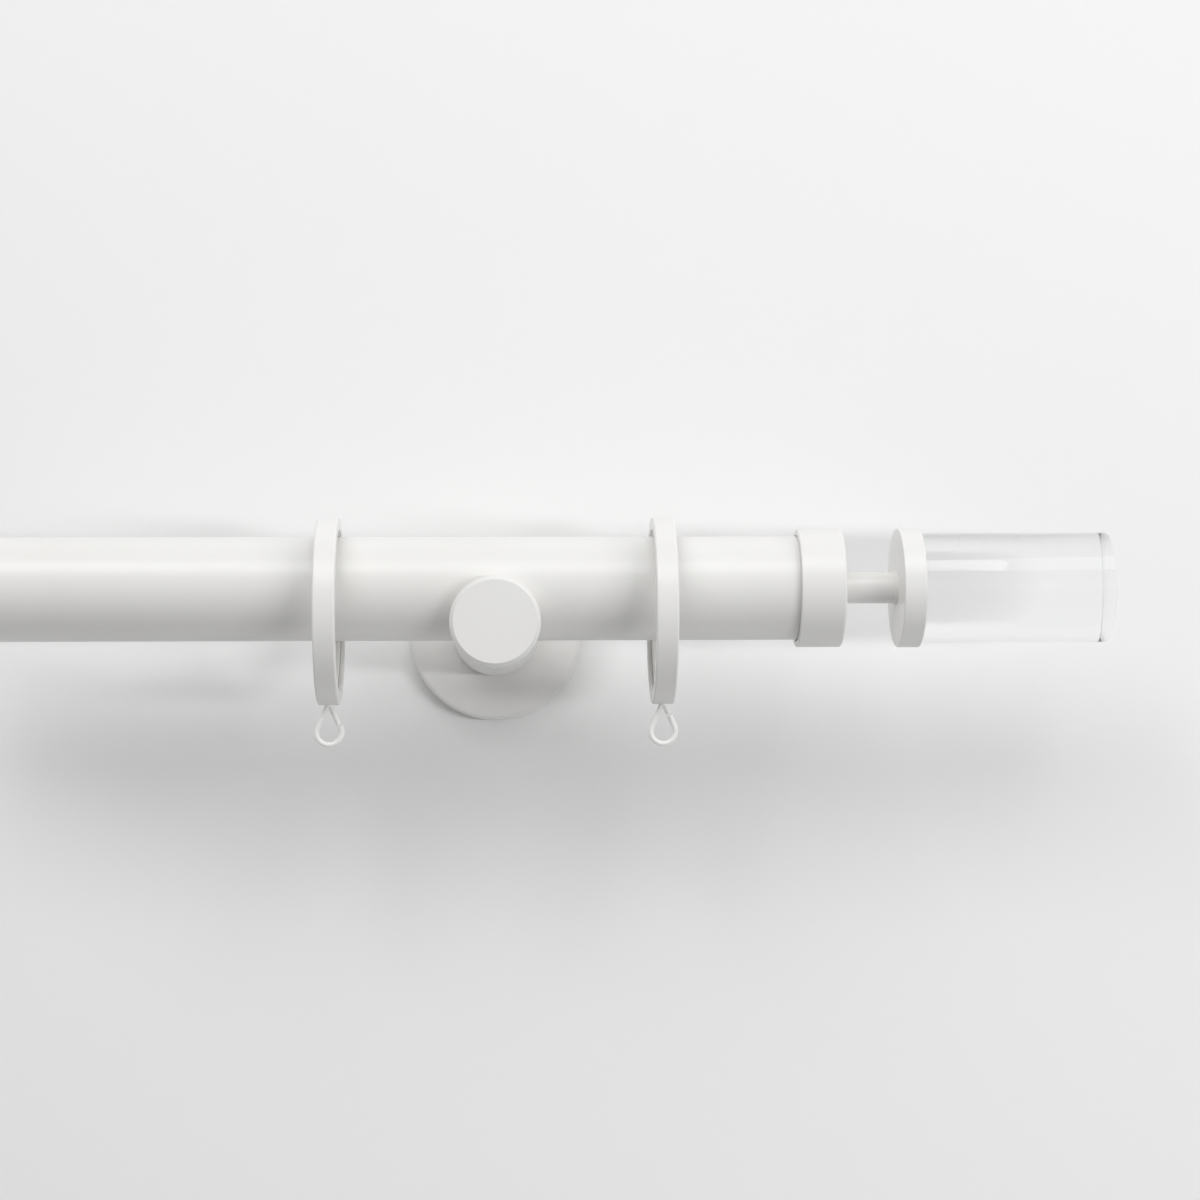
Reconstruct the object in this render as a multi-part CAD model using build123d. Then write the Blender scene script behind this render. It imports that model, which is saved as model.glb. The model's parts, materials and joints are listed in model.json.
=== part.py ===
"""Finial end of a curtain pole, with its barrel bracket and two lined rings.

Millimetres. The origin is the centre of the wall plate's back face, on the wall. +X runs along the
pole to the finial, +Y into the wall and +Z up.
"""

import os
from math import asin, cos, sin

from build123d import *

# Pole
POLE_DIAMETER = 50.0
POLE_WALL = 2.0
POLE_PROJECTION = 85.0  # wall to the pole's axis
POLE_OPEN_END = 255.0  # bracket's centre to the square-cut end
POLE_EDGE_BREAK = 0.3

# Bracket arm, a round bar with the pole's saddle bored across it
ARM_DIAMETER = 43.0
ARM_LIP = 8.0  # metal in front of the pole
ARM_BEVEL = 1.75
SADDLE_FLOOR = 14.1  # metal under the pole
SADDLE_CLEARANCE = 0.2

# Bracket rose and the wall plate in its pocket
ROSE_DIAMETER = 87.6
ROSE_FRONT_WALL = 5.0
ROSE_EDGE_ROUND = 2.0
ROSE_BACK_BREAK = 0.4
PLATE_DIAMETER = 68.0
PLATE_THICKNESS = 5.0
PLATE_CLEARANCE = 0.15
PLATE_GROOVE = 1.0  # depth of the locking groove in the plate's rim
WALL_SCREW_HOLE = 5.0
WALL_SCREW_HEAD = 10.0
WALL_SCREW_CIRCLE = 44.0
WALL_SCREW_COUNT = 3

# Bracket fasteners
ARM_BOLT_DIAMETER = 8.0
ARM_BOLT_HEAD = 16.0
ARM_BOLT_REACH = 20.0  # into the arm
ARM_BOLT_KEY = 5.0  # across the socket's flats
ARM_BOLT_KEY_DEPTH = 2.8
ARM_TAP_RUNOUT = 2.0  # tapped hole past the bolt's end
POLE_GRUB_DIAMETER = 6.0
POLE_GRUB_LENGTH = 10.0
POLE_GRUB_POINT = 1.0  # height of the tapered point
POLE_GRUB_KEY = 3.0
ROSE_GRUB_DIAMETER = 4.0
ROSE_GRUB_LENGTH = 8.0
ROSE_GRUB_TIP = 0.5  # flat on the point
ROSE_GRUB_KEY = 2.0
GRUB_KEY_DEPTH = 2.5

# Finial: end cap, plug, neck, disc, cylinder and the stud through them
CAP_START = 145.0  # bracket's centre to the cap's rim
CAP_LENGTH = 21.5
CAP_WALL = 2.8
CAP_BORE_GAP = 0.7
CAP_END_WALL = 5.5
CAP_END_ROUND = 1.2
CAP_RIM_ROUND = 0.6
PLUG_DEPTH = 20.0
PLUG_FLANGE = 2.0
PLUG_FLANGE_STEP = 1.2  # flange beyond the reamed seat
PLUG_SEAT_CUT = 0.3  # the pole's bore is reamed by this for the plug
NECK_DIAMETER = 15.0
NECK_LENGTH = 27.2
NECK_SHOULDER_STEP = 0.6
NECK_SHOULDER_LENGTH = 1.5
DISC_DIAMETER = 57.5
DISC_THICKNESS = 10.8
DISC_EDGE_ROUND = 0.7
CYLINDER_DIAMETER = 53.2
CYLINDER_LENGTH = 90.7
CYLINDER_EDGE_ROUND = 1.0
STUD_DIAMETER = 8.0
STUD_IN_PLUG = 16.0
STUD_IN_DISC = 7.0
STUD_TAP_RUNOUT = 1.0
STUD_CLEARANCE = 0.2  # all round, through cap and neck
STUD_END_BREAK = 0.8

# Rings: a band round a split liner that glides on the pole, with a wire eye below
LEFT_RING_X = -79.5
RIGHT_RING_X = 80.4
RING_SLACK = 22.0  # liner's bore less the pole's diameter
RING_GLIDE_GAP = 0.3  # over the pole's top
LINER_THICKNESS = 4.0
LINER_WIDTH = 6.5
LINER_ROUND = 0.8
LINER_SPLIT = 0.8
LINER_RUNNING_GAP = 0.1
LINER_SIDE_GAP = 0.2
LINER_GRIP = 1.0  # depth of the liner in the band's groove
BAND_THICKNESS = 6.0
BAND_WIDTH = 10.5
BAND_OUTER_ROUND = 1.0
BAND_INNER_ROUND = 0.5
EYE_WIRE = 2.5
EYE_INNER_DIAMETER = 9.2
EYE_DROP = 13.1  # band's underside to the loop's centre
EYE_APEX_RISE = 1.0  # the strands' meeting point above the band's underside
EYE_SHANK_DIAMETER = 4.0
EYE_SHANK_END_GAP = 0.5  # short of the liner's groove
EYE_SHANK_ROOT = 1.0  # shank below the band, into the strands
EYE_JOINT_GAP = 0.4
LEFT_EYE_JOINT = 0.6  # butt joint along the right strand, from the loop's arc
RIGHT_EYE_JOINT = 5.6

# Places that follow from the sizes above
pole_radius = POLE_DIAMETER / 2
pole_bore_radius = pole_radius - POLE_WALL
plug_seat_radius = pole_bore_radius + PLUG_SEAT_CUT
arm_radius = ARM_DIAMETER / 2
pole_y = -POLE_PROJECTION
pole_z = SADDLE_FLOOR + pole_radius - arm_radius
rose_front = -PLATE_THICKNESS - ROSE_FRONT_WALL
arm_front = pole_y - pole_radius - ARM_LIP
rose_radius = ROSE_DIAMETER / 2
plate_radius = PLATE_DIAMETER / 2
cap_end = CAP_START + CAP_LENGTH
cap_radius = pole_radius + CAP_BORE_GAP + CAP_WALL
cap_floor = cap_end - CAP_END_WALL
pole_end = cap_floor - PLUG_FLANGE
neck_end = cap_end + NECK_LENGTH
disc_end = neck_end + DISC_THICKNESS
stud_radius = STUD_DIAMETER / 2
stud_hole_radius = stud_radius + STUD_CLEARANCE
liner_inner_radius = (POLE_DIAMETER + RING_SLACK) / 2
liner_outer_radius = liner_inner_radius + LINER_THICKNESS
groove_radius = liner_outer_radius + LINER_RUNNING_GAP
band_inner_radius = liner_outer_radius - LINER_GRIP
band_outer_radius = band_inner_radius + BAND_THICKNESS
ring_z = pole_z + pole_radius + RING_GLIDE_GAP - liner_inner_radius

ON_POLE = Pos(0, pole_y, pole_z)
SAME = 1e-6  # two lengths this close are equal


def turned(outline, axis):
    """A turned solid: the half outline, in X and Y, revolved about the axis."""
    return revolve(make_face(Polyline(*outline, close=True)), axis)


def bar(radius, start, end):
    """A round bar along X between two places."""
    return turned([(start, 0), (end, 0), (end, radius), (start, radius)], Axis.X)


def rims(piece, radius, along, place):
    """The piece's circular edges of one radius, centred at one place along an axis."""

    def matches(edge):
        centre = getattr(edge.arc_center, along)
        return abs(edge.radius - radius) < SAME and abs(centre - place) < SAME

    return piece.edges().filter_by(GeomType.CIRCLE).filter_by(matches)


def hex_socket(across_flats, depth):
    """A key socket that opens at Z = 0 and runs up."""
    return extrude(RegularPolygon(across_flats / 2, 6, major_radius=False), depth)


def pole_tube():
    """Tube, square cut at the left, with a reamed seat for the plug at the finial end."""
    tube = bar(pole_radius, -POLE_OPEN_END, pole_end)
    tube = chamfer(rims(tube, pole_radius, "X", -POLE_OPEN_END), POLE_EDGE_BREAK)
    bore = bar(pole_bore_radius, -POLE_OPEN_END, pole_end)
    seat = bar(plug_seat_radius, pole_end - PLUG_DEPTH, pole_end)
    return ON_POLE * (tube - bore - seat)


def pole_plug():
    """Flanged plug that seats in the pole's end and takes the finial's stud."""
    seat_start = pole_end - PLUG_DEPTH
    flange_radius = plug_seat_radius + PLUG_FLANGE_STEP
    outline = [
        (seat_start, stud_radius),
        (cap_floor, stud_radius),
        (cap_floor, flange_radius),
        (pole_end, flange_radius),
        (pole_end, plug_seat_radius),
        (seat_start, plug_seat_radius),
    ]
    return ON_POLE * turned(outline, Axis.X)


def bracket_arm():
    """Round bar from the rose to its bevelled front, with the pole's saddle bored across it."""
    bolt_radius = ARM_BOLT_DIAMETER / 2
    outline = [(0, arm_front), (arm_radius, arm_front), (arm_radius, rose_front), (0, rose_front)]
    arm = turned(outline, Axis.Y)
    arm = chamfer(rims(arm, arm_radius, "Y", arm_front), ARM_BEVEL)
    saddle_radius = pole_radius + SADDLE_CLEARANCE
    saddle = Pos(0, pole_y, pole_z + SADDLE_CLEARANCE) * bar(saddle_radius, -arm_radius, arm_radius)
    tap_end = rose_front - ARM_BOLT_REACH - ARM_TAP_RUNOUT
    tap = [(0, tap_end), (bolt_radius, tap_end), (bolt_radius, rose_front), (0, rose_front)]
    grub_hole = Pos(0, pole_y, pole_z - pole_radius) * Cylinder(
        POLE_GRUB_DIAMETER / 2, ARM_DIAMETER, align=(Align.CENTER, Align.CENTER, Align.MAX)
    )
    return arm - saddle - turned(tap, Axis.Y) - grub_hole


def bracket_rose():
    """Round base with a pocket for the wall plate and a countersunk hole for the arm's bolt."""
    pocket_radius = plate_radius + PLATE_CLEARANCE
    outline = [(0, rose_front), (rose_radius, rose_front), (rose_radius, 0), (0, 0)]
    rose = turned(outline, Axis.Y)
    rose = fillet(rims(rose, rose_radius, "Y", rose_front), ROSE_EDGE_ROUND)
    rose = chamfer(rims(rose, rose_radius, "Y", 0), ROSE_BACK_BREAK)
    pocket = [(0, -PLATE_THICKNESS), (pocket_radius, -PLATE_THICKNESS), (pocket_radius, 0), (0, 0)]
    grub_hole = Pos(0, -PLATE_THICKNESS / 2, -plate_radius) * Cylinder(
        ROSE_GRUB_DIAMETER / 2, rose_radius, align=(Align.CENTER, Align.CENTER, Align.MAX)
    )
    return rose - turned(pocket, Axis.Y) - turned(arm_bolt_outline(), Axis.Y) - grub_hole


def wall_plate():
    """Disc with countersunk wall screw holes and a locking groove round its rim."""
    middle = -PLATE_THICKNESS / 2
    outline = [
        (0, -PLATE_THICKNESS),
        (plate_radius, -PLATE_THICKNESS),
        (plate_radius, middle - PLATE_GROOVE),
        (plate_radius - PLATE_GROOVE, middle),
        (plate_radius, middle + PLATE_GROOVE),
        (plate_radius, 0),
        (0, 0),
    ]
    hole_radius = WALL_SCREW_HOLE / 2
    head_radius = WALL_SCREW_HEAD / 2
    sink_end = -PLATE_THICKNESS + head_radius - hole_radius
    screw_hole = turned(
        [
            (0, -PLATE_THICKNESS),
            (head_radius, -PLATE_THICKNESS),
            (hole_radius, sink_end),
            (hole_radius, 0),
            (0, 0),
        ],
        Axis.Y,
    )
    plate = turned(outline, Axis.Y)
    for turn in range(WALL_SCREW_COUNT):
        angle = 360 * turn / WALL_SCREW_COUNT
        plate -= Rot(0, angle, 0) * Pos(0, 0, WALL_SCREW_CIRCLE / 2) * screw_hole
    return plate


def arm_bolt_outline():
    """Half outline of the bolt: its head is flush with the pocket's floor."""
    radius = ARM_BOLT_DIAMETER / 2
    head_radius = ARM_BOLT_HEAD / 2
    head_face = -PLATE_THICKNESS
    head_root = head_face - head_radius + radius
    end = rose_front - ARM_BOLT_REACH
    return [(0, end), (radius, end), (radius, head_root), (head_radius, head_face), (0, head_face)]


def arm_bolt():
    """Countersunk socket bolt that pulls the arm onto the rose from behind."""
    socket = Pos(0, -PLATE_THICKNESS, 0) * Rot(90, 0, 0) * hex_socket(ARM_BOLT_KEY, ARM_BOLT_KEY_DEPTH)
    return turned(arm_bolt_outline(), Axis.Y) - socket


def grub_screw(diameter, length, point, key):
    """Set screw along Z with its tip at Z = 0, a tapered point and a key socket below."""
    radius = diameter / 2
    outline = [(0, 0), (radius - point, 0), (radius, -point), (radius, -length), (0, -length)]
    screw = revolve(Plane.XZ * make_face(Polyline(*outline, close=True)), Axis.Z)
    return screw - Pos(0, 0, -length) * hex_socket(key, GRUB_KEY_DEPTH)


def pole_grub_screw():
    """Flat-pointed screw under the arm that bears on the pole."""
    screw = grub_screw(POLE_GRUB_DIAMETER, POLE_GRUB_LENGTH, POLE_GRUB_POINT, POLE_GRUB_KEY)
    return Pos(0, pole_y, pole_z - pole_radius) * screw


def rose_grub_screw():
    """Flat-pointed screw under the rose, tightened into the wall plate's groove."""
    tip_radius = ROSE_GRUB_TIP / 2
    tip_reach = plate_radius - PLATE_GROOVE + tip_radius
    point = ROSE_GRUB_DIAMETER / 2 - tip_radius
    screw = grub_screw(ROSE_GRUB_DIAMETER, ROSE_GRUB_LENGTH, point, ROSE_GRUB_KEY)
    return Pos(0, -PLATE_THICKNESS / 2, -tip_reach) * screw


def finial_end_cap():
    """Cup over the pole's end, clear of it all round and clamped against the plug by the stud."""
    bore_radius = cap_radius - CAP_WALL
    cap = bar(cap_radius, CAP_START, cap_end)
    cap = fillet(rims(cap, cap_radius, "X", cap_end), CAP_END_ROUND)
    cap = fillet(rims(cap, cap_radius, "X", CAP_START), CAP_RIM_ROUND)
    stud_hole = bar(stud_hole_radius, cap_floor, cap_end)
    return ON_POLE * (cap - bar(bore_radius, CAP_START, cap_floor) - stud_hole)


def finial_neck():
    """Spacer tube between cap and disc, with a thin seating shoulder at the disc."""
    radius = NECK_DIAMETER / 2
    shoulder_radius = radius + NECK_SHOULDER_STEP
    shoulder_start = neck_end - NECK_SHOULDER_LENGTH
    outline = [
        (cap_end, stud_hole_radius),
        (cap_end, radius),
        (shoulder_start, radius),
        (shoulder_start, shoulder_radius),
        (neck_end, shoulder_radius),
        (neck_end, stud_hole_radius),
    ]
    return ON_POLE * turned(outline, Axis.X)


def finial_disc():
    """Turned disc, tapped for the stud on its left face."""
    radius = DISC_DIAMETER / 2
    disc = bar(radius, neck_end, disc_end)
    disc = fillet(rims(disc, radius, "X", neck_end), DISC_EDGE_ROUND)
    disc = fillet(rims(disc, radius, "X", disc_end), DISC_EDGE_ROUND)
    return ON_POLE * (disc - bar(stud_radius, neck_end, neck_end + STUD_IN_DISC + STUD_TAP_RUNOUT))


def finial_cylinder():
    """Solid clear cylinder, bonded to the disc, with a rounded outer edge."""
    radius = CYLINDER_DIAMETER / 2
    end = disc_end + CYLINDER_LENGTH
    cylinder = bar(radius, disc_end, end)
    return ON_POLE * fillet(rims(cylinder, radius, "X", end), CYLINDER_EDGE_ROUND)


def finial_stud():
    """Threaded stud from the plug, through cap and neck, into the disc."""
    start = pole_end - STUD_IN_PLUG
    end = neck_end + STUD_IN_DISC
    stud = bar(stud_radius, start, end)
    ends = rims(stud, stud_radius, "X", start) + rims(stud, stud_radius, "X", end)
    return ON_POLE * chamfer(ends, STUD_END_BREAK)


def ring_liner():
    """Split glide strip that runs in the band's groove, centred on the ring's own axis."""
    half = LINER_WIDTH / 2
    outline = [
        (-half, liner_inner_radius),
        (half, liner_inner_radius),
        (half, liner_outer_radius),
        (-half, liner_outer_radius),
    ]
    liner = turned(outline, Axis.X)
    inner_rims = rims(liner, liner_inner_radius, "X", half) + rims(liner, liner_inner_radius, "X", -half)
    liner = fillet(inner_rims, LINER_ROUND)
    split = Pos(0, liner_outer_radius / 2, 0) * Box(LINER_WIDTH, liner_outer_radius, LINER_SPLIT)
    return liner - split


def ring_band():
    """Flat band with rounded edges, a groove for the liner and a tapped hole below for the eye."""
    half = BAND_WIDTH / 2
    groove = LINER_WIDTH / 2 + LINER_SIDE_GAP
    outline = [
        (-half, band_inner_radius),
        (-groove, band_inner_radius),
        (-groove, groove_radius),
        (groove, groove_radius),
        (groove, band_inner_radius),
        (half, band_inner_radius),
        (half, band_outer_radius),
        (-half, band_outer_radius),
    ]
    band = turned(outline, Axis.X)
    for side in (-half, half):
        band = fillet(rims(band, band_outer_radius, "X", side), BAND_OUTER_ROUND)
        band = fillet(rims(band, band_inner_radius, "X", side), BAND_INNER_ROUND)
    hole = Pos(0, 0, -liner_outer_radius) * Cylinder(
        EYE_SHANK_DIAMETER / 2, BAND_THICKNESS, align=(Align.CENTER, Align.CENTER, Align.MAX)
    )
    return band - hole


def wire(path):
    """Round wire along a path."""
    return sweep(Plane(path @ 0, z_dir=path % 0) * Circle(EYE_WIRE / 2), path=path)


def ring_eye(joint):
    """Teardrop wire loop with a butt joint on its right strand, on a shank screwed into the band."""
    loop_radius = (EYE_INNER_DIAMETER + EYE_WIRE) / 2
    apex_height = EYE_DROP + EYE_APEX_RISE
    lean = asin(loop_radius / apex_height)
    centre = Vector(0, 0, -band_outer_radius - EYE_DROP)
    apex = centre + Vector(0, 0, apex_height)
    right = centre + Vector(cos(lean), 0, sin(lean)) * loop_radius
    left = centre + Vector(-cos(lean), 0, sin(lean)) * loop_radius
    bottom = centre - Vector(0, 0, loop_radius)
    up_right = (apex - right).normalized()
    loop = wire(ThreePointArc(left, bottom, right))
    loop += wire(Line(left, apex))
    loop += wire(Line(right, right + up_right * joint))
    loop += wire(Line(right + up_right * (joint + EYE_JOINT_GAP), apex))
    above = Pos(0, 0, -band_outer_radius) * Box(
        EYE_INNER_DIAMETER, EYE_INNER_DIAMETER, apex_height, align=(Align.CENTER, Align.CENTER, Align.MIN)
    )
    shank_length = band_outer_radius + EYE_SHANK_ROOT - groove_radius - EYE_SHANK_END_GAP
    shank = Pos(0, 0, -band_outer_radius - EYE_SHANK_ROOT) * Cylinder(
        EYE_SHANK_DIAMETER / 2, shank_length, align=(Align.CENTER, Align.CENTER, Align.MIN)
    )
    return loop - above + shank


def pieces():
    """Every piece of the pole end by name, in place."""
    named = {
        "pole_tube": pole_tube(),
        "pole_plug": pole_plug(),
        "bracket_arm": bracket_arm(),
        "bracket_rose": bracket_rose(),
        "wall_plate": wall_plate(),
        "arm_bolt": arm_bolt(),
        "pole_grub_screw": pole_grub_screw(),
        "rose_grub_screw": rose_grub_screw(),
        "finial_end_cap": finial_end_cap(),
        "finial_neck": finial_neck(),
        "finial_disc": finial_disc(),
        "finial_cylinder": finial_cylinder(),
        "finial_stud": finial_stud(),
    }
    rings = {"left": (LEFT_RING_X, LEFT_EYE_JOINT), "right": (RIGHT_RING_X, RIGHT_EYE_JOINT)}
    for side, (ring_x, eye_joint) in rings.items():
        place = Pos(ring_x, pole_y, ring_z)
        named[f"{side}_ring_band"] = place * ring_band()
        named[f"{side}_ring_liner"] = place * ring_liner()
        named[f"{side}_ring_eye"] = place * ring_eye(eye_joint)
    return named


os.makedirs("parts", exist_ok=True)
for name, solid in pieces().items():
    export_step(solid, f"parts/{name}.step")
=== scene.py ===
import json
from math import asin, ceil, cos, pi, radians, sin, sqrt, tan

import bpy
from mathutils import Matrix, Vector


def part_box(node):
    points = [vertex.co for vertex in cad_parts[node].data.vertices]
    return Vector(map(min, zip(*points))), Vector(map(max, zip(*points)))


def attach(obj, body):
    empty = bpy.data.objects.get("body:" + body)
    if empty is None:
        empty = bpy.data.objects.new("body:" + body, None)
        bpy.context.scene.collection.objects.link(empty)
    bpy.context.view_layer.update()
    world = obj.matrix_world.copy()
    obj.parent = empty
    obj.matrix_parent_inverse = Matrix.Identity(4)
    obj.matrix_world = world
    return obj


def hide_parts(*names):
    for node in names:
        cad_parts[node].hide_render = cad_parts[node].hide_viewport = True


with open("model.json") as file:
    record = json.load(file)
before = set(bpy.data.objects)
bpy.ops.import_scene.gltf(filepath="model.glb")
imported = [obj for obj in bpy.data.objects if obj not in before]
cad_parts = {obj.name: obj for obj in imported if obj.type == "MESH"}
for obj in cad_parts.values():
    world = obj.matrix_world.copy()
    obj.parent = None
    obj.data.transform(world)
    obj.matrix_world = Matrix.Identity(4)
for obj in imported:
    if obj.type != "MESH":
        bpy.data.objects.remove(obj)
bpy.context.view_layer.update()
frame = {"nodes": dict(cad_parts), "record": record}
nodes = frame["nodes"]


# Wall plate: a turned steel disc, zinc plated, that is screwed to the wall through its three
# countersunk holes. The rose hangs over it. The plating is cloudy and still shows the lathe's rings.
ZINC_BRIGHT = (0.66, 0.67, 0.69, 1)
ZINC_DULL = (0.46, 0.47, 0.49, 1)
ZINC_ROUGHNESS = 0.36
METAL_CLOUD_SCALE = 90
METAL_CLOUD_DETAIL = 4
DULL_ROUGHER = 0.08  # on top of the metal's roughness where it is dull
BRIGHT_SMOOTHER = 0.05  # off it where it is bright
LATHE_RING_SCALE = 650
LATHE_RING_WANDER = 1.5
LATHE_RING_DETAIL = 1.0
LATHE_RING_HEIGHT = 0.00002
LATHE_RING_STRENGTH = 0.4


def new_material(name):
    """A node material, and its Principled shader."""
    material = bpy.data.materials.new(name)
    material.use_nodes = True
    return material, material.node_tree.nodes["Principled BSDF"]


def add_node(owner, kind, inputs=None, **settings):
    """A new node of a material or the world, with its settings and its unlinked inputs."""
    node = owner.node_tree.nodes.new(kind)
    for name, value in settings.items():
        setattr(node, name, value)
    for name, value in (inputs or {}).items():
        node.inputs[name].default_value = value
    return node


def link(owner, output, target):
    """Joins an output socket to an input socket, in a material or the world."""
    owner.node_tree.links.new(output, target)


def coordinates(material, centre=(0, 0, 0)):
    """Object coordinates, measured from a centre in the part's frame."""
    texture = add_node(material, "ShaderNodeTexCoord")
    mapping = add_node(material, "ShaderNodeMapping", {"Location": Vector(centre) * -1})
    link(material, texture.outputs["Object"], mapping.inputs["Vector"])
    return mapping.outputs["Vector"]


def noise(material, place, scale, detail=2.0):
    """Soft random values from 0 to 1."""
    texture = add_node(material, "ShaderNodeTexNoise", {"Scale": scale, "Detail": detail})
    link(material, place, texture.inputs["Vector"])
    return texture.outputs["Fac"]


def spread(material, value, low, high, start=0.3, end=0.7):
    """A value from start to end, spread over low to high."""
    scaled = add_node(
        material,
        "ShaderNodeMapRange",
        {"From Min": start, "From Max": end, "To Min": low, "To Max": high},
    )
    link(material, value, scaled.inputs["Value"])
    return scaled.outputs["Result"]


def blend_colours(material, share, first, second):
    """A colour between two others, by a share from 0 to 1. Either may be a socket."""
    mix = add_node(material, "ShaderNodeMix", data_type="RGBA")
    link(material, share, mix.inputs["Factor"])
    for socket, colour in (("A", first), ("B", second)):
        target = next(i for i in mix.inputs if i.name == socket and i.type == "RGBA")
        if isinstance(colour, tuple):
            target.default_value = colour
        else:
            link(material, colour, target)
    return next(o for o in mix.outputs if o.type == "RGBA")


def mottle(material, clouds, first, second):
    """Two colours in soft patches."""
    return blend_colours(material, spread(material, clouds, 0, 1), first, second)


def bump(material, height, distance, strength=1.0, below=None):
    """A surface relief of that height in metres, on top of another relief if there is one."""
    node = add_node(material, "ShaderNodeBump", {"Distance": distance, "Strength": strength})
    link(material, height, node.inputs["Height"])
    if below:
        link(material, below, node.inputs["Normal"])
    return node.outputs["Normal"]


def dress(material, shader, colour, roughness, relief):
    """Gives a shader its colour, roughness and relief."""
    for name, socket in (("Base Color", colour), ("Roughness", roughness), ("Normal", relief)):
        link(material, socket, shader.inputs[name])


def turned_metal(name, axis, centre, bright, dull, roughness):
    """Bare or plated metal off the lathe, with fine rings about an axis."""
    material, shader = new_material(name)
    shader.inputs["Metallic"].default_value = 1.0
    place = coordinates(material, centre)
    clouds = noise(material, place, METAL_CLOUD_SCALE, METAL_CLOUD_DETAIL)
    colour = mottle(material, clouds, dull, bright)
    gloss = spread(material, clouds, roughness + DULL_ROUGHER, roughness - BRIGHT_SMOOTHER)
    rings = add_node(
        material,
        "ShaderNodeTexWave",
        {"Scale": LATHE_RING_SCALE, "Distortion": LATHE_RING_WANDER, "Detail": LATHE_RING_DETAIL},
        wave_type="RINGS",
        rings_direction=axis,
    )
    link(material, place, rings.inputs["Vector"])
    relief = bump(material, rings.outputs["Fac"], LATHE_RING_HEIGHT, LATHE_RING_STRENGTH)
    dress(material, shader, colour, gloss, relief)
    return material


def coat_node(node, material):
    """Gives a piece of the frame its finish."""
    nodes[node].data.materials.clear()
    nodes[node].data.materials.append(material)


zinc = turned_metal("zinc_plate", "Y", (0, 0, 0), ZINC_BRIGHT, ZINC_DULL, ZINC_ROUGHNESS)
coat_node("wall_plate", zinc)


# Rose and arm: turned aluminium, sprayed and baked with one satin white powder coat. The powder melts
# into a skin with a faint orange peel, a little uneven in gloss. The arm is pulled onto the rose by a
# bolt from behind.
COAT_WHITE = (0.80, 0.795, 0.78, 1)
COAT_SHADE = (0.775, 0.768, 0.75, 1)
COAT_DRIFT_SCALE = 14
COAT_GLOSS_SCALE = 160
COAT_GLOSS_DETAIL = 3
COAT_ROUGHNESS = (0.30, 0.35)
PEEL_SCALE = 620
PEEL_DETAIL = 1
PEEL_HEIGHT = 0.00004
PEEL_STRENGTH = 0.04


def coat_colour(material, place):
    """The coat's white, drifting slightly over a hand's breadth."""
    return mottle(material, noise(material, place, COAT_DRIFT_SCALE), COAT_SHADE, COAT_WHITE)


def coat_roughness(material, place):
    """The coat's uneven satin gloss."""
    patches = noise(material, place, COAT_GLOSS_SCALE, COAT_GLOSS_DETAIL)
    return spread(material, patches, *COAT_ROUGHNESS)


def coat_relief(material, place):
    """The coat's orange peel."""
    return bump(material, noise(material, place, PEEL_SCALE, PEEL_DETAIL), PEEL_HEIGHT, PEEL_STRENGTH)


def powder_coat(name):
    """Satin white powder coat over the whole piece."""
    material, shader = new_material(name)
    place = coordinates(material)
    colour = coat_colour(material, place)
    dress(material, shader, colour, coat_roughness(material, place), coat_relief(material, place))
    return material


white = powder_coat("white_powder_coat")
for node in ("bracket_rose", "bracket_arm"):
    coat_node(node, white)


# Bracket fasteners: zinc-plated steel with rolled metric threads. A countersunk socket bolt holds the
# arm to the rose, one set screw under the arm bears on the pole, and one under the rose locks it on
# the wall plate.
THREAD_STEPS = 32
THREAD_CREST = 0.125  # this and the next two are shares of the pitch
THREAD_ROOT = 0.25
THREAD_DEPTH = 0.6134
THREAD_SPARE = 2  # turns past each end, cut off again
THREAD_EASE = 0.00002  # crest inside its tapped hole
THREAD_WELD = 0.000001  # points as close as this are one
M8, M8_PITCH = 0.008, 0.00125
M6, M6_PITCH = 0.006, 0.001
M4, M4_PITCH = 0.004, 0.0007
BOLT_END_BREAK = 0.0008
BOLT_HEAD_SIDES = 96
BOLT_KEY, BOLT_KEY_DEPTH = 0.005, 0.0028
POLE_SCREW_POINT = 0.001
POLE_SCREW_KEY = 0.003
ROSE_SCREW_TIP = 0.0005
ROSE_SCREW_KEY = 0.002
SCREW_KEY_DEPTH = 0.0025
SCREW_END_BREAK = 0.0004
KEY_SIDES = 6
SMOOTH_ANGLE = radians(30)
THREAD_CLOUD_SCALE = 270
THREAD_ROUGHNESS = (0.36, 0.24)  # dull, bright
PLATING_GRAIN_SCALE = 2400
PLATING_GRAIN_HEIGHT = 0.000004
PLATING_GRAIN_STRENGTH = 0.5


def plated_thread(name):
    """Bright zinc plating, cloudy and a little grainy."""
    material, shader = new_material(name)
    shader.inputs["Metallic"].default_value = 1.0
    place = coordinates(material)
    clouds = noise(material, place, THREAD_CLOUD_SCALE, METAL_CLOUD_DETAIL)
    colour = mottle(material, clouds, ZINC_DULL, ZINC_BRIGHT)
    gloss = spread(material, clouds, *THREAD_ROUGHNESS)
    grain = noise(material, place, PLATING_GRAIN_SCALE)
    relief = bump(material, grain, PLATING_GRAIN_HEIGHT, PLATING_GRAIN_STRENGTH)
    dress(material, shader, colour, gloss, relief)
    return material


def deselect():
    """Nothing selected."""
    bpy.ops.object.select_all(action="DESELECT")


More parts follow.
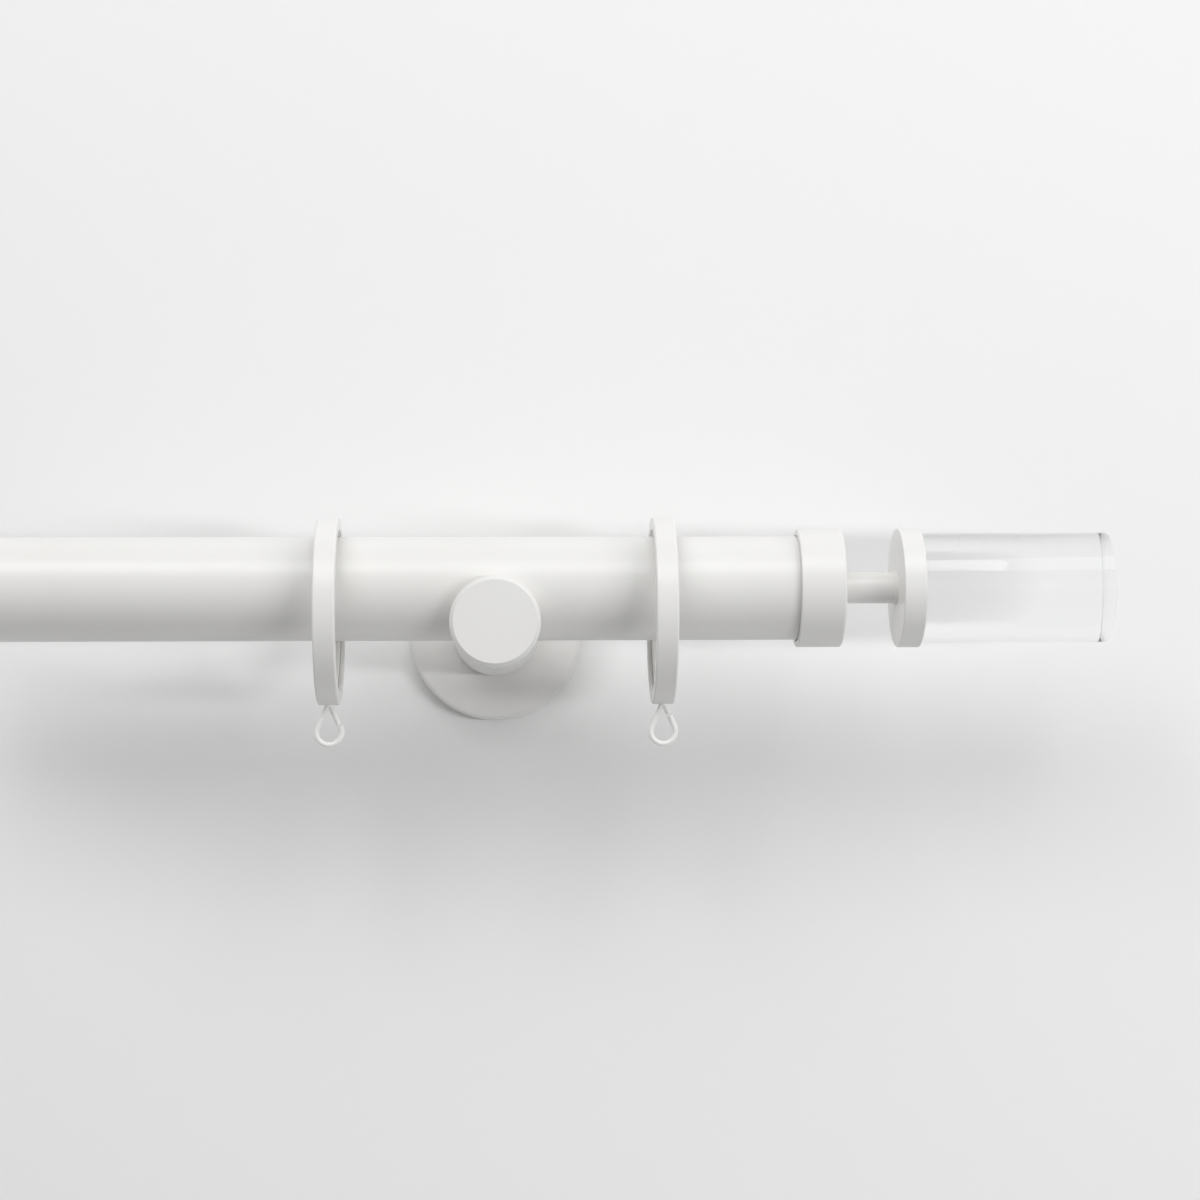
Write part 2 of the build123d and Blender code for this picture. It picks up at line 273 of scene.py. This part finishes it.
def threaded_rod(name, diameter, pitch, length, start_radius, end_radius):
    """A rod up from Z = 0: one pitch of its outline, screwed up the axis, cut square and coned."""
    crest = diameter / 2 - THREAD_EASE
    root = diameter / 2 - THREAD_DEPTH * pitch
    flank = (1 - THREAD_CREST - THREAD_ROOT) * pitch / 2
    outline = (
        (0, 0, THREAD_ROOT * pitch),
        (crest - root, 0, flank),
        (0, 0, THREAD_CREST * pitch),
        (root - crest, 0, flank),
    )
    deselect()
    bpy.ops.mesh.primitive_plane_add(size=diameter)
    rod = bpy.context.object
    rod.name = name
    bpy.ops.object.mode_set(mode="EDIT")
    bpy.ops.mesh.select_all(action="SELECT")
    bpy.ops.mesh.merge(type="CENTER")
    bpy.ops.transform.translate(value=(root, 0, -THREAD_SPARE * pitch))
    for step in outline:
        bpy.ops.mesh.extrude_vertices_move(TRANSFORM_OT_translate={"value": step})
    bpy.ops.object.mode_set(mode="OBJECT")
    turns = rod.modifiers.new("turns", "SCREW")
    turns.screw_offset = pitch
    turns.iterations = ceil(length / pitch) + 2 * THREAD_SPARE
    turns.steps = turns.render_steps = THREAD_STEPS
    bpy.ops.object.modifier_apply(modifier=turns.name)
    bpy.ops.object.mode_set(mode="EDIT")
    bpy.ops.mesh.select_all(action="SELECT")
    bpy.ops.mesh.remove_doubles(threshold=THREAD_WELD)
    for height in (0, length):
        bpy.ops.mesh.select_all(action="SELECT")
        bpy.ops.mesh.bisect(
            plane_co=(0, 0, height),
            plane_no=(0, 0, 1),
            use_fill=True,
            clear_inner=height == 0,
            clear_outer=height > 0,
            threshold=THREAD_WELD,
        )
    bpy.ops.mesh.select_all(action="SELECT")
    bpy.ops.mesh.normals_make_consistent(inside=False)
    bpy.ops.object.mode_set(mode="OBJECT")
    for point in rod.data.vertices:
        reach = point.co.xy.length
        limit = min(start_radius + point.co.z, end_radius + length - point.co.z, reach)
        point.co.xy = point.co.xy * (limit / reach)
    return rod


def combine(piece, tool, operation):
    """Joins a tool to a piece, or cuts it out of it, and removes the tool."""
    deselect()
    bpy.context.view_layer.objects.active = piece
    change = piece.modifiers.new("change", "BOOLEAN")
    change.object = tool
    change.operation = operation
    change.solver = "EXACT"
    bpy.ops.object.modifier_apply(modifier=change.name)
    tool.select_set(True)
    bpy.ops.object.delete()


def cut_key_socket(piece, across_flats, depth, face):
    """A six-sided key socket, down from a face at that height."""
    deselect()
    corner_radius = across_flats / 2 / cos(pi / KEY_SIDES)
    bpy.ops.mesh.primitive_cylinder_add(
        vertices=KEY_SIDES, radius=corner_radius, depth=2 * depth, location=(0, 0, face)
    )
    combine(piece, bpy.context.object, "DIFFERENCE")


def fasten(piece, node, place, turn):
    """Puts a finished fastener where its node is and gives it its finish."""
    deselect()
    piece.select_set(True)
    bpy.context.view_layer.objects.active = piece
    piece.location = place
    piece.rotation_euler = turn
    bpy.ops.object.transform_apply(location=True, rotation=True)
    bpy.ops.object.shade_smooth_by_angle(angle=SMOOTH_ANGLE)
    piece.data.materials.append(plated)
    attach(piece, "pole_and_bracket")
    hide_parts(node)


def set_screw(name, node, diameter, pitch, tip_radius, key):
    """A set screw that points up, with its key socket below."""
    low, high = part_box(node)
    length = high.z - low.z
    screw = threaded_rod(name, diameter, pitch, length, tip_radius, diameter / 2 - SCREW_END_BREAK)
    cut_key_socket(screw, key, SCREW_KEY_DEPTH, length)
    middle = (low + high) / 2
    fasten(screw, node, (middle.x, middle.y, high.z), (pi, 0, 0))


plated = plated_thread("plated_thread")
set_screw("pole_set_screw", "pole_grub_screw", M6, M6_PITCH, M6 / 2 - POLE_SCREW_POINT, POLE_SCREW_KEY)
set_screw("rose_set_screw", "rose_grub_screw", M4, M4_PITCH, ROSE_SCREW_TIP / 2, ROSE_SCREW_KEY)

bolt_low, bolt_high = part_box("arm_bolt")
bolt_length = bolt_high.y - bolt_low.y
head_radius = (bolt_high.x - bolt_low.x) / 2
head_height = head_radius - M8 / 2
bolt_rod = bolt_length - head_height / 2
bolt = threaded_rod("arm_socket_bolt", M8, M8_PITCH, bolt_rod, M8 / 2 - BOLT_END_BREAK, M8)
deselect()
bpy.ops.mesh.primitive_cone_add(
    vertices=BOLT_HEAD_SIDES,
    radius1=M8 / 2,
    radius2=head_radius,
    depth=head_height,
    location=(0, 0, bolt_length - head_height / 2),
)
combine(bolt, bpy.context.object, "UNION")
cut_key_socket(bolt, BOLT_KEY, BOLT_KEY_DEPTH, bolt_length)
fasten(bolt, "arm_bolt", (0, bolt_low.y, 0), (-pi / 2, 0, 0))


# Pole: a welded steel tube, powder coated outside. Its bore and its square-cut left end are bare
# steel, and the weld shows as a blued line along the bore's underside.
STEEL_BRIGHT = (0.68, 0.67, 0.65, 1)
STEEL_DULL = (0.54, 0.53, 0.51, 1)
STEEL_ROUGHNESS = 0.42
STEEL_GRAIN_SCALE = 220
STEEL_GRAIN_DETAIL = 4
POLE_WALL = 0.002
CUT_END_DEPTH = 0.0001
BORE_SKIN = 0.0001
WELD_BLUE = (0.14, 0.16, 0.21, 1)
WELD_WIDTH = 0.004
WELD_HEIGHT = 0.0003
open_end = next(m for m in frame["record"]["mounts"] if m["name"] == "pole_open_end")
pole_axis = Vector(open_end["pos_m"])
pole_low, pole_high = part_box("pole_tube")
pole_radius = pole_high.z - pole_axis.z


def below_limit(material, value, limit):
    """1 where the value is below the limit, 0 elsewhere."""
    node = add_node(material, "ShaderNodeMath", {1: limit}, operation="LESS_THAN")
    link(material, value, node.inputs[0])
    return node.outputs["Value"]


def maths(owner, operation, first, second):
    """Two sockets joined by one operation, in a material or the world."""
    node = add_node(owner, "ShaderNodeMath", operation=operation)
    link(owner, first, node.inputs[0])
    link(owner, second, node.inputs[1])
    return node.outputs["Value"]


def coated_tube(name):
    """Powder coat outside, bare steel in the bore and on the cut end."""
    material, shader = new_material(name)
    place = coordinates(material)
    from_axis = coordinates(material, pole_axis)
    across = add_node(material, "ShaderNodeVectorMath", {1: (0, 1, 1)}, operation="MULTIPLY")
    link(material, from_axis, across.inputs[0])
    reach = add_node(material, "ShaderNodeVectorMath", operation="LENGTH")
    link(material, across.outputs["Vector"], reach.inputs[0])
    parts = add_node(material, "ShaderNodeSeparateXYZ")
    link(material, from_axis, parts.inputs["Vector"])
    bore_reach = pole_radius - POLE_WALL + BORE_SKIN
    bore = below_limit(material, reach.outputs["Value"], bore_reach)
    cut_depth = pole_low.x + CUT_END_DEPTH - pole_axis.x
    cut_end = below_limit(material, parts.outputs["X"], cut_depth)
    bare = maths(material, "MAXIMUM", bore, cut_end)
    side = add_node(material, "ShaderNodeMath", operation="ABSOLUTE")
    link(material, parts.outputs["Y"], side.inputs[0])
    seam = spread(material, side.outputs["Value"], 1, 0, WELD_WIDTH / 4, WELD_WIDTH / 2)
    lower = below_limit(material, parts.outputs["Z"], 0)
    weld = maths(material, "MULTIPLY", seam, maths(material, "MULTIPLY", bore, lower))
    grain = noise(material, place, STEEL_GRAIN_SCALE, STEEL_GRAIN_DETAIL)
    steel = blend_colours(material, weld, mottle(material, grain, STEEL_DULL, STEEL_BRIGHT), WELD_BLUE)
    colour = blend_colours(material, bare, coat_colour(material, place), steel)
    link(material, bare, shader.inputs["Metallic"])
    gloss = add_node(material, "ShaderNodeMix", {"B": STEEL_ROUGHNESS})
    link(material, bare, gloss.inputs["Factor"])
    link(material, coat_roughness(material, place), gloss.inputs["A"])
    relief = bump(material, weld, WELD_HEIGHT, below=coat_relief(material, place))
    dress(material, shader, colour, gloss.outputs["Result"], relief)
    return material


coat_node("pole_tube", coated_tube("coated_pole_tube"))


# Pole plug: turned aluminium, pressed into the pole's reamed end and tapped for the finial's stud. It
# keeps the finial's cup centred on the pole.
ALUMINIUM_BRIGHT = (0.76, 0.76, 0.77, 1)
ALUMINIUM_DULL = (0.62, 0.62, 0.63, 1)
ALUMINIUM_ROUGHNESS = 0.3
aluminium = turned_metal(
    "turned_aluminium", "X", pole_axis, ALUMINIUM_BRIGHT, ALUMINIUM_DULL, ALUMINIUM_ROUGHNESS
)
coat_node("pole_plug", aluminium)


# Finial metal: a cup over the pole's end, a spacer tube and a disc, all turned, powder coated and
# clamped together by a plated stud through their middle.
for node in ("finial_end_cap", "finial_neck", "finial_disc"):
    coat_node(node, white)
stud_low, stud_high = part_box("finial_stud")
stud_end = M8 / 2 - BOLT_END_BREAK
stud = threaded_rod("finial_threaded_stud", M8, M8_PITCH, stud_high.x - stud_low.x, stud_end, stud_end)
fasten(stud, "finial_stud", (stud_low.x, pole_axis.y, pole_axis.z), (0, pi / 2, 0))


# Finial cylinder: cast clear acrylic, turned, polished and bonded to the disc. The bond leaves no air
# behind it, so its hidden face is let into the disc by a hair.
ACRYLIC_TINT = (0.995, 1.0, 0.998, 1)
ACRYLIC_IOR = 1.49
ACRYLIC_SIDES = 192
ACRYLIC_EDGE = 0.00015
ACRYLIC_EDGE_STEPS = 5
ACRYLIC_SMOOTH_ANGLE = radians(35)
POLISH_SCALE = 40
POLISH_DETAIL = 3
POLISH_ROUGHNESS = (0.0, 0.012)
BOND_DEPTH = 0.00005
acrylic_low, acrylic_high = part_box("finial_cylinder")


def clear_acrylic(name):
    """Polished clear acrylic with the faintest unevenness of its polish."""
    material, shader = new_material(name)
    shader.inputs["Base Color"].default_value = ACRYLIC_TINT
    shader.inputs["Transmission Weight"].default_value = 1.0
    shader.inputs["IOR"].default_value = ACRYLIC_IOR
    polish = noise(material, coordinates(material), POLISH_SCALE, POLISH_DETAIL)
    link(material, spread(material, polish, *POLISH_ROUGHNESS), shader.inputs["Roughness"])
    return material


def break_edges(piece, wanted, width, steps):
    """Rounds the edges whose ends are both wanted points, and leaves the piece in edit mode."""
    bpy.ops.object.mode_set(mode="EDIT")
    bpy.ops.mesh.select_all(action="DESELECT")
    bpy.ops.object.mode_set(mode="OBJECT")
    for edge in piece.data.edges:
        edge.select = all(wanted(piece.data.vertices[i].co) for i in edge.vertices)
    bpy.ops.object.mode_set(mode="EDIT")
    bpy.ops.mesh.select_mode(type="EDGE")
    bpy.ops.mesh.bevel(offset=width, segments=steps)


def on_open_rim(point):
    """Whether a point of the acrylic is on its open end."""
    return point.x > acrylic_high.x - ACRYLIC_EDGE


deselect()
acrylic_start = acrylic_low.x - BOND_DEPTH
acrylic_radius = (acrylic_high.z - acrylic_low.z) / 2
bpy.ops.mesh.primitive_cylinder_add(
    vertices=ACRYLIC_SIDES,
    radius=acrylic_radius,
    depth=acrylic_high.x - acrylic_start,
    location=((acrylic_start + acrylic_high.x) / 2, pole_axis.y, pole_axis.z),
    rotation=(0, pi / 2, 0),
)
acrylic = bpy.context.object
acrylic.name = "finial_acrylic"
bpy.ops.object.transform_apply(location=True, rotation=True)
break_edges(acrylic, on_open_rim, ACRYLIC_EDGE, ACRYLIC_EDGE_STEPS)
bpy.ops.object.mode_set(mode="OBJECT")
bpy.ops.object.shade_smooth_by_angle(angle=ACRYLIC_SMOOTH_ANGLE)
acrylic.data.materials.append(clear_acrylic("clear_acrylic"))
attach(acrylic, "pole_and_bracket")
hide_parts("finial_cylinder")


# Rings: a powder-coated steel band round a nylon glide strip, with a coated wire eye below it. The
# wire is dipped in a smoother coat, painted whiter than the band's: the extra white is painted light
# for the light that the thin wire catches. It is bent round to a teardrop, and its free end is left
# sprung a little open on the right strand.
NYLON = (0.78, 0.78, 0.76, 1)
NYLON_SHADE = (0.74, 0.74, 0.715, 1)
NYLON_ROUGHNESS = (0.4, 0.52)
NYLON_CLOUD_SCALE = 120
NYLON_CLOUD_DETAIL = 3
NYLON_GRAIN_SCALE = 900
NYLON_GRAIN_HEIGHT = 0.00003
NYLON_GRAIN_STRENGTH = 0.2
# Painted light: both wire colours are whiter than the band's coat, standing in for the light the thin
# wire catches.
WIRE_PAINTED_LIGHT_WHITE = (0.91, 0.905, 0.895, 1)
WIRE_PAINTED_LIGHT_GREY = (0.88, 0.875, 0.86, 1)
DIP_ROUGHNESS = (0.24, 0.30)
EYE_WIRE = 0.0025
EYE_WIRE_SIDES = 24
EYE_BEND_STEPS = 36
EYE_APEX_RISE = 0.001  # the strands' meeting point above the band's underside
EYE_SHANK_DIAMETER = 0.004
EYE_SHANK_ROOT = 0.001
EYE_SHANK_SIDES = 32
EYE_JOINT_GAP = 0.0008
EYE_SPRING = 0.0005  # free end outwards
EYE_END_BREAK = 0.0002
EYE_END_STEPS = 2
EYE_JOINTS = {"left": 0.0006, "right": 0.0056}  # along the right strand, from the bend


def moulded_nylon(name):
    """Natural nylon, matt and a little cloudy."""
    material, shader = new_material(name)
    place = coordinates(material)
    clouds = noise(material, place, NYLON_CLOUD_SCALE, NYLON_CLOUD_DETAIL)
    colour = mottle(material, clouds, NYLON_SHADE, NYLON)
    grain = noise(material, place, NYLON_GRAIN_SCALE)
    relief = bump(material, grain, NYLON_GRAIN_HEIGHT, NYLON_GRAIN_STRENGTH)
    dress(material, shader, colour, spread(material, clouds, *NYLON_ROUGHNESS), relief)
    return material


def dipped_wire_with_painted_light(name):
    """The eyes' coat: smoother than the powder coat, a little uneven in thickness, and painted whiter
    as painted light.
    """
    material, shader = new_material(name)
    place = coordinates(material)
    runs = noise(material, place, COAT_GLOSS_SCALE, COAT_GLOSS_DETAIL)
    colour = mottle(material, runs, WIRE_PAINTED_LIGHT_GREY, WIRE_PAINTED_LIGHT_WHITE)
    gloss = spread(material, runs, *DIP_ROUGHNESS)
    dress(material, shader, colour, gloss, coat_relief(material, place))
    return material


def wire_section(name, place, lean):
    """The wire's round section across a strand, in edit mode with its edges selected."""
    deselect()
    bpy.ops.mesh.primitive_circle_add(
        vertices=EYE_WIRE_SIDES, radius=EYE_WIRE / 2, location=place, rotation=(0, lean, 0)
    )
    section = bpy.context.object
    section.name = name
    bpy.ops.object.transform_apply(location=True, rotation=True)
    bpy.ops.object.mode_set(mode="EDIT")
    bpy.ops.mesh.select_all(action="SELECT")
    return section


def draw_wire(run):
    """Pulls the selected section along a straight run."""
    bpy.ops.mesh.extrude_edges_move(TRANSFORM_OT_translate={"value": run})


def finish_wire(piece, end, along, top):
    """Closes the wire, breaks the edge of its free end and cuts it level under the band."""

    def on_end_rim(point):
        """Whether a point of the wire is on its free end."""
        offset = point - end
        return abs(offset.dot(along)) < EYE_END_BREAK and offset.length < EYE_WIRE

    bpy.ops.mesh.select_all(action="SELECT")
    bpy.ops.mesh.fill_holes(sides=0)
    break_edges(piece, on_end_rim, EYE_END_BREAK, EYE_END_STEPS)
    bpy.ops.mesh.select_all(action="SELECT")
    bpy.ops.mesh.bisect(
        plane_co=top, plane_no=(0, 0, 1), use_fill=True, clear_outer=True, threshold=THREAD_WELD
    )
    bpy.ops.mesh.select_all(action="SELECT")
    bpy.ops.mesh.normals_make_consistent(inside=False)
    bpy.ops.object.mode_set(mode="OBJECT")


def wire_eye(side):
    """One eye: the bent loop with its sprung end, the short strand beside it and the shank."""
    low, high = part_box(f"{side}_ring_eye")
    band_low, band_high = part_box(f"{side}_ring_band")
    middle = (band_low + band_high) / 2
    radius = (high.x - low.x - EYE_WIRE) / 2
    centre = Vector((middle.x, middle.y, low.z + radius + EYE_WIRE / 2))
    apex = Vector((middle.x, middle.y, band_low.z + EYE_APEX_RISE))
    top = Vector((middle.x, middle.y, band_low.z))
    lean = asin(radius / (apex.z - centre.z))
    strand = sqrt((apex.z - centre.z) ** 2 - radius**2)
    up_right = Vector((-sin(lean), 0, cos(lean)))
    up_left = Vector((sin(lean), 0, cos(lean)))
    bend_end = centre + Vector((cos(lean), 0, sin(lean))) * radius
    joint = EYE_JOINTS[side]

    loop_end = bend_end + up_right * joint
    loop = wire_section(f"{side}_wire_eye", loop_end, -lean)
    draw_wire(-up_right * joint)
    bpy.ops.mesh.spin(steps=EYE_BEND_STEPS, angle=pi + 2 * lean, center=centre, axis=(0, -1, 0))
    draw_wire(up_left * strand)
    finish_wire(loop, loop_end, up_right, top)
    for point in loop.data.vertices:
        if point.co.x > centre.x and point.co.z < loop_end.z + EYE_WIRE:
            rise = (point.co.z - low.z) / (loop_end.z - low.z)
            share = (point.co.x - centre.x) / radius
            point.co.x += EYE_SPRING * min(rise * share, 1) ** 2

    stub_end = bend_end + up_right * (joint + EYE_JOINT_GAP)
    stub = wire_section(f"{side}_eye_stub", stub_end, -lean)
    draw_wire(up_right * (strand - joint - EYE_JOINT_GAP))
    finish_wire(stub, stub_end, up_right, top)
    combine(loop, stub, "UNION")

    deselect()
    shank_low = band_low.z - EYE_SHANK_ROOT
    bpy.ops.mesh.primitive_cylinder_add(
        vertices=EYE_SHANK_SIDES,
        radius=EYE_SHANK_DIAMETER / 2,
        depth=high.z - shank_low,
        location=(middle.x, middle.y, (shank_low + high.z) / 2),
    )
    combine(loop, bpy.context.object, "UNION")
    return loop


nylon = moulded_nylon("natural_nylon")
wire_coat_painted_light = dipped_wire_with_painted_light("wire_dip_with_painted_light")
for side in ("left", "right"):
    coat_node(f"{side}_ring_band", white)
    coat_node(f"{side}_ring_liner", nylon)
    eye = wire_eye(side)
    deselect()
    eye.select_set(True)
    bpy.ops.object.shade_smooth_by_angle(angle=SMOOTH_ANGLE)
    eye.data.materials.append(wire_coat_painted_light)
    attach(eye, f"{side}_ring")
    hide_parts(f"{side}_ring_eye")


# Backdrop: a plain painted wall that the plate sits on, seen from its front only and open behind the
# rose, and a pale floor well below. Neither is part of the object.
WALL_COLOUR = (0.88, 0.88, 0.88, 1)
WALL_SPECULAR = 0.1
FLOOR_COLOUR = (0.62, 0.62, 0.62, 1)
PAINT_ROUGHNESS = 0.9
WALL_REACH = 6
WALL_GAP = 0.0003
WALL_OPENING = 0.04
WALL_SIDES = 64
FLOOR_SIZE = 36
FLOOR_DROP = 2.4


def mix_shaders(owner, share, first, second, output):
    """Sends the first shader to the output, and the second where the share is 1."""
    mix = add_node(owner, "ShaderNodeMixShader")
    link(owner, share, mix.inputs["Fac"])
    link(owner, first, mix.inputs[1])
    link(owner, second, mix.inputs[2])
    link(owner, mix.outputs["Shader"], owner.node_tree.nodes[output].inputs["Surface"])


def wall_paint(name):
    """Matt paint that is clear from behind, so that the back views aren't hidden."""
    material, shader = new_material(name)
    shader.inputs["Base Color"].default_value = WALL_COLOUR
    shader.inputs["Roughness"].default_value = PAINT_ROUGHNESS
    shader.inputs["Specular IOR Level"].default_value = WALL_SPECULAR
    behind = add_node(material, "ShaderNodeNewGeometry").outputs["Backfacing"]
    clear = add_node(material, "ShaderNodeBsdfTransparent").outputs["BSDF"]
    mix_shaders(material, behind, shader.outputs["BSDF"], clear, "Material Output")
    return material


deselect()
bpy.ops.mesh.primitive_circle_add(
    vertices=WALL_SIDES, radius=WALL_OPENING, location=(0, WALL_GAP, 0), rotation=(pi / 2, 0, 0)
)
wall = bpy.context.object
wall.name = "backdrop_wall"
bpy.ops.object.transform_apply(location=True, rotation=True)
bpy.ops.object.mode_set(mode="EDIT")
bpy.ops.mesh.select_all(action="SELECT")
bpy.ops.mesh.extrude_edges_move()
bpy.ops.transform.resize(value=(WALL_REACH / WALL_OPENING, 1, WALL_REACH / WALL_OPENING))
bpy.ops.mesh.select_all(action="SELECT")
bpy.ops.mesh.flip_normals()
bpy.ops.object.mode_set(mode="OBJECT")
wall.data.materials.append(wall_paint("wall_paint"))

deselect()
bpy.ops.mesh.primitive_plane_add(size=FLOOR_SIZE, location=(0, 0, -FLOOR_DROP))
floor = bpy.context.object
floor.name = "pale_floor"
floor_material, floor_shader = new_material("floor_paint")
floor_shader.inputs["Base Color"].default_value = FLOOR_COLOUR
floor_shader.inputs["Roughness"].default_value = PAINT_ROUGHNESS
floor.data.materials.append(floor_material)


# Light: three softboxes in a row above and in front, a narrow one just below the pole's height that no
# gloss mirrors, one low on the right, and an even pale surround. Each is given by its turn to the right
# and its rise, both in degrees, then its width, height and power.
LIGHT_AIM = Vector((0.05, -0.05, 0.0))
LIGHT_RANGE = 2.2
SOFTBOXES = {
    "softbox_above_left": (-42, 43, 1.5, 0.9, 12.5),
    "softbox_above": (0, 43, 1.5, 0.9, 11),
    "softbox_above_right": (42, 43, 1.5, 0.9, 5),
    "softbox_front": (40, -2.8, 1.2, 0.15, 14),
    "softbox_right": (82, 15, 1.6, 1.2, 5),
}
UNSEEN_SOFTBOX = "softbox_front"
SURROUND_LIGHT = (1, 1, 1, 1)
SURROUND_STRENGTH = 0.42
SURROUND_SEEN = (0.7, 0.7, 0.7, 1)

for name, (right, above, width, height, watts) in SOFTBOXES.items():
    direction = Vector((sin(radians(right)), -cos(radians(right)), tan(radians(above)))).normalized()
    deselect()
    bpy.ops.object.light_add(type="AREA", location=LIGHT_AIM + direction * LIGHT_RANGE)
    softbox = bpy.context.object
    softbox.name = name
    softbox.data.shape = "RECTANGLE"
    softbox.data.size, softbox.data.size_y = width, height
    softbox.data.energy = watts
    softbox.visible_glossy = name != UNSEEN_SOFTBOX
    softbox.rotation_euler = direction.to_track_quat("Z", "Y").to_euler()

world = bpy.data.worlds.new("pale_surround")
bpy.context.scene.world = world
world.use_nodes = True
lit = world.node_tree.nodes["Background"]
lit.inputs["Color"].default_value = SURROUND_LIGHT
lit.inputs["Strength"].default_value = SURROUND_STRENGTH
seen = add_node(world, "ShaderNodeBackground", {"Color": SURROUND_SEEN})
ray = add_node(world, "ShaderNodeLightPath").outputs
straight_or_mirrored = maths(world, "MAXIMUM", ray["Is Camera Ray"], ray["Is Glossy Ray"])
to_the_eye = maths(world, "MAXIMUM", straight_or_mirrored, ray["Is Transmission Ray"])
mix_shaders(world, to_the_eye, lit.outputs["Background"], seen.outputs["Background"], "World Output")


# Camera: in front of the bracket and a little below it, turned slightly right and up. Its place and
# lens follow the outlines of the pole, rings, bracket and finial.
CAMERA_PLACE = (0.00265, -1.33447, -0.07106)
CAMERA_LENS = 78.11
CAMERA_SENSOR = 36
CAMERA_RIGHT = radians(2.1886)
CAMERA_UP = radians(3.8018)
CAMERA_ROLL = radians(-0.2714)

turn = Matrix.Rotation(-CAMERA_RIGHT, 3, "Z")
turn @= Matrix.Rotation(pi / 2 + CAMERA_UP, 3, "X")
turn @= Matrix.Rotation(CAMERA_ROLL, 3, "Z")
bpy.ops.object.camera_add(location=CAMERA_PLACE, rotation=turn.to_euler())
camera = bpy.context.object
camera.data.lens = CAMERA_LENS
camera.data.sensor_width = CAMERA_SENSOR
bpy.context.scene.camera = camera
bpy.context.scene.view_settings.view_transform = "Standard"
